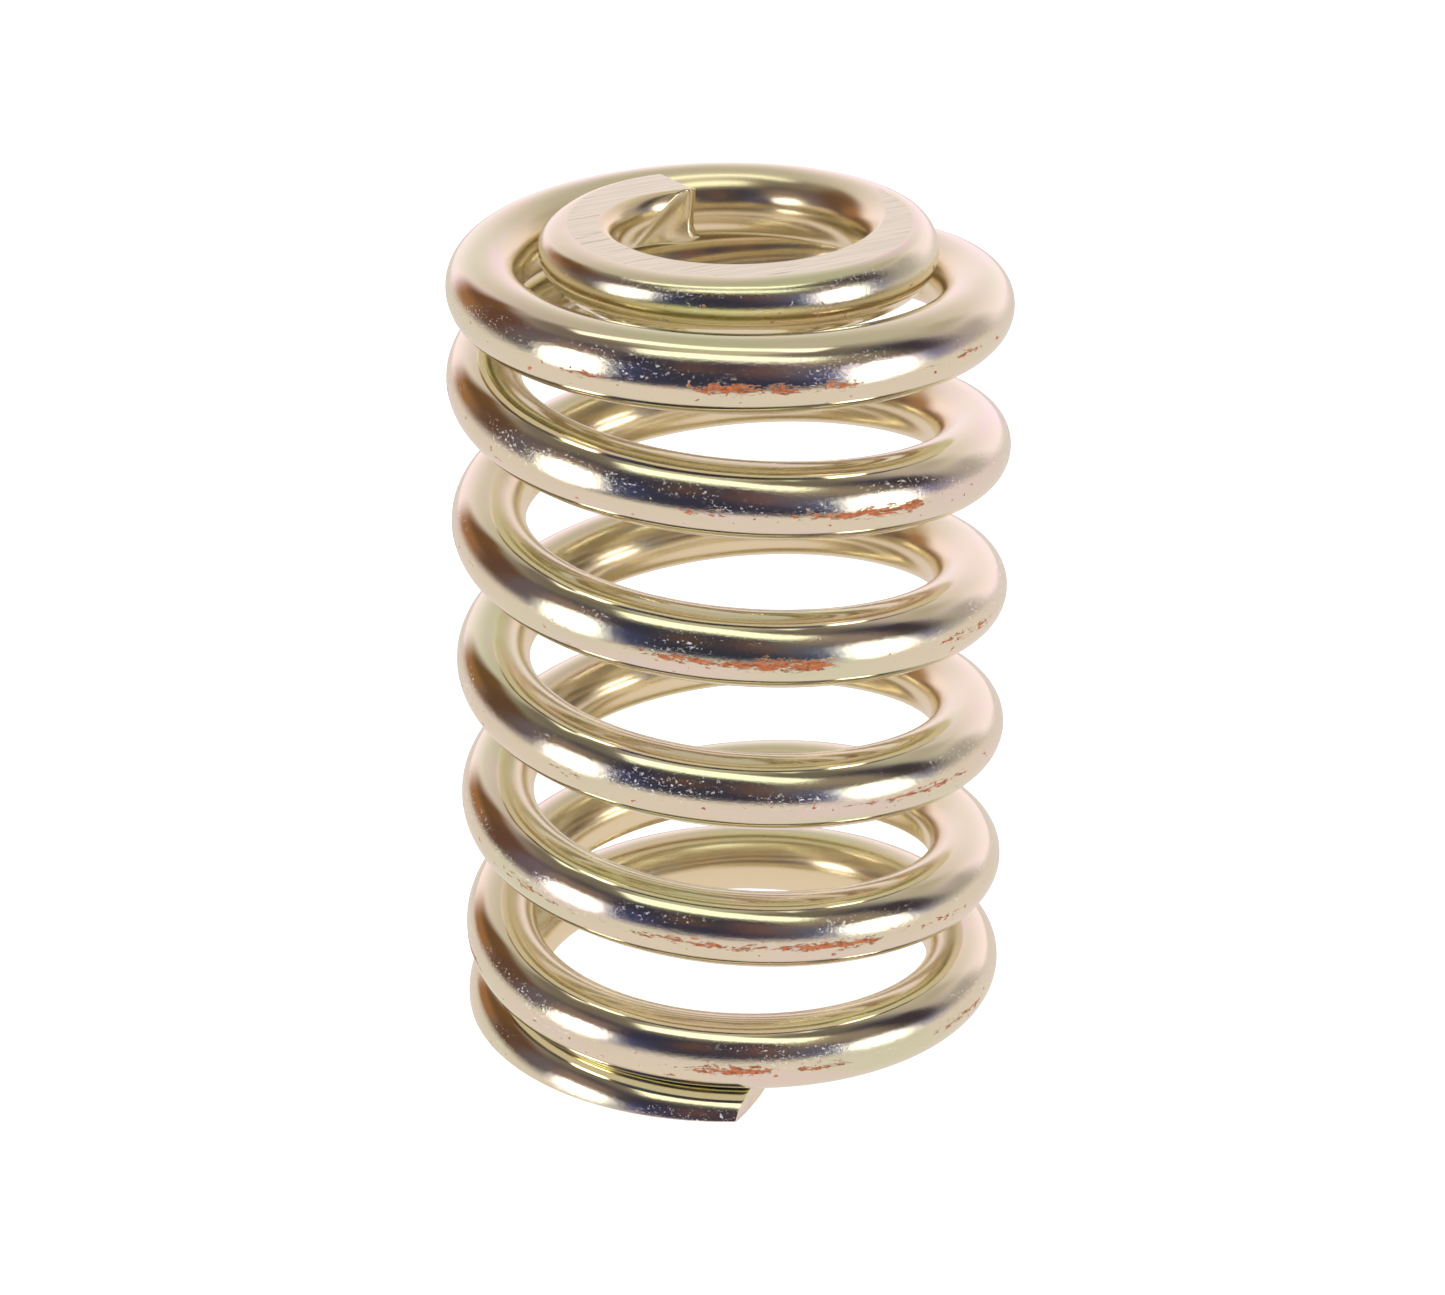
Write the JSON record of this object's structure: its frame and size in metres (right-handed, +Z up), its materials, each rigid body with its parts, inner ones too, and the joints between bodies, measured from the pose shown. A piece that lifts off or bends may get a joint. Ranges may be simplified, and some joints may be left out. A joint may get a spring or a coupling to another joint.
{
  "type": "compression spring",
  "caption": "Left-hand helical compression spring of heavy plated wire, with a ground base and a smaller ground coil nested in its top turn.",
  "frame": {"origin": "on the coil's axis, in the plane of the ground base", "axes": "+Z up the coil's axis towards the nested end coil; +Y towards the back, where the sheared top end points, and the bottom cut end is at the front, in -Y"},
  "size_m": [0.03, 0.03, 0.0457],
  "materials": {
    "plated_wire": "bright straw-yellow iridescent zinc plating over round spring steel wire, scratched and rust-specked along the outside of the turns",
    "ground_plated_wire": "the same plating over wire that was ground flat at the coil's end, with fine parallel grinding lines and a satin sheen"
  },
  "bodies": {
    "base": {"bottom_ground_tip": "ground_plated_wire", "bottom_closed_coil": "ground_plated_wire", "bottom_lift_off": "plated_wire"},
    "length_01": {"coil_1_quarter_1": "plated_wire"},
    "length_02": {"coil_1_quarter_2": "plated_wire"},
    "length_03": {"coil_1_quarter_3": "plated_wire"},
    "length_04": {"coil_1_quarter_4": "plated_wire"},
    "length_05": {"coil_2_quarter_1": "plated_wire"},
    "length_06": {"coil_2_quarter_2": "plated_wire"},
    "length_07": {"coil_2_quarter_3": "plated_wire"},
    "length_08": {"coil_2_quarter_4": "plated_wire"},
    "length_09": {"coil_3_quarter_1": "plated_wire"},
    "length_10": {"coil_3_quarter_2": "plated_wire"},
    "length_11": {"coil_3_quarter_3": "plated_wire"},
    "length_12": {"coil_3_quarter_4": "plated_wire"},
    "length_13": {"coil_4_quarter_1": "plated_wire"},
    "length_14": {"coil_4_quarter_2": "plated_wire"},
    "length_15": {"coil_4_quarter_3": "plated_wire"},
    "top": {"top_run_in": "plated_wire", "top_outer_coil": "plated_wire", "top_inward_bend": "ground_plated_wire", "top_nested_coil": "ground_plated_wire", "top_sheared_tip": "ground_plated_wire"}
  },
  "joints": [
    {"name": "squeeze", "type": "slide", "parent": "base", "child": "top", "axis": [0, 0, -1], "range_m": [0, 0.016], "stiffness_N_per_m": 32500},
    {"name": "follow_01", "type": "slide", "parent": "base", "child": "length_01", "axis": [0, 0, -1], "range_m": [0, 0.001]},
    {"name": "follow_02", "type": "slide", "parent": "base", "child": "length_02", "axis": [0, 0, -1], "range_m": [0, 0.002]},
    {"name": "follow_03", "type": "slide", "parent": "base", "child": "length_03", "axis": [0, 0, -1], "range_m": [0, 0.003]},
    {"name": "follow_04", "type": "slide", "parent": "base", "child": "length_04", "axis": [0, 0, -1], "range_m": [0, 0.004]},
    {"name": "follow_05", "type": "slide", "parent": "base", "child": "length_05", "axis": [0, 0, -1], "range_m": [0, 0.005]},
    {"name": "follow_06", "type": "slide", "parent": "base", "child": "length_06", "axis": [0, 0, -1], "range_m": [0, 0.006]},
    {"name": "follow_07", "type": "slide", "parent": "base", "child": "length_07", "axis": [0, 0, -1], "range_m": [0, 0.007]},
    {"name": "follow_08", "type": "slide", "parent": "base", "child": "length_08", "axis": [0, 0, -1], "range_m": [0, 0.008]},
    {"name": "follow_09", "type": "slide", "parent": "base", "child": "length_09", "axis": [0, 0, -1], "range_m": [0, 0.009]},
    {"name": "follow_10", "type": "slide", "parent": "base", "child": "length_10", "axis": [0, 0, -1], "range_m": [0, 0.01]},
    {"name": "follow_11", "type": "slide", "parent": "base", "child": "length_11", "axis": [0, 0, -1], "range_m": [0, 0.011]},
    {"name": "follow_12", "type": "slide", "parent": "base", "child": "length_12", "axis": [0, 0, -1], "range_m": [0, 0.012]},
    {"name": "follow_13", "type": "slide", "parent": "base", "child": "length_13", "axis": [0, 0, -1], "range_m": [0, 0.013]},
    {"name": "follow_14", "type": "slide", "parent": "base", "child": "length_14", "axis": [0, 0, -1], "range_m": [0, 0.014]},
    {"name": "follow_15", "type": "slide", "parent": "base", "child": "length_15", "axis": [0, 0, -1], "range_m": [0, 0.015]}
  ],
  "couplings": [
    {"joint": "follow_01", "follows": "squeeze", "ratio": 0.0625},
    {"joint": "follow_02", "follows": "squeeze", "ratio": 0.125},
    {"joint": "follow_03", "follows": "squeeze", "ratio": 0.1875},
    {"joint": "follow_04", "follows": "squeeze", "ratio": 0.25},
    {"joint": "follow_05", "follows": "squeeze", "ratio": 0.3125},
    {"joint": "follow_06", "follows": "squeeze", "ratio": 0.375},
    {"joint": "follow_07", "follows": "squeeze", "ratio": 0.4375},
    {"joint": "follow_08", "follows": "squeeze", "ratio": 0.5},
    {"joint": "follow_09", "follows": "squeeze", "ratio": 0.5625},
    {"joint": "follow_10", "follows": "squeeze", "ratio": 0.625},
    {"joint": "follow_11", "follows": "squeeze", "ratio": 0.6875},
    {"joint": "follow_12", "follows": "squeeze", "ratio": 0.75},
    {"joint": "follow_13", "follows": "squeeze", "ratio": 0.8125},
    {"joint": "follow_14", "follows": "squeeze", "ratio": 0.875},
    {"joint": "follow_15", "follows": "squeeze", "ratio": 0.9375}
  ]
}
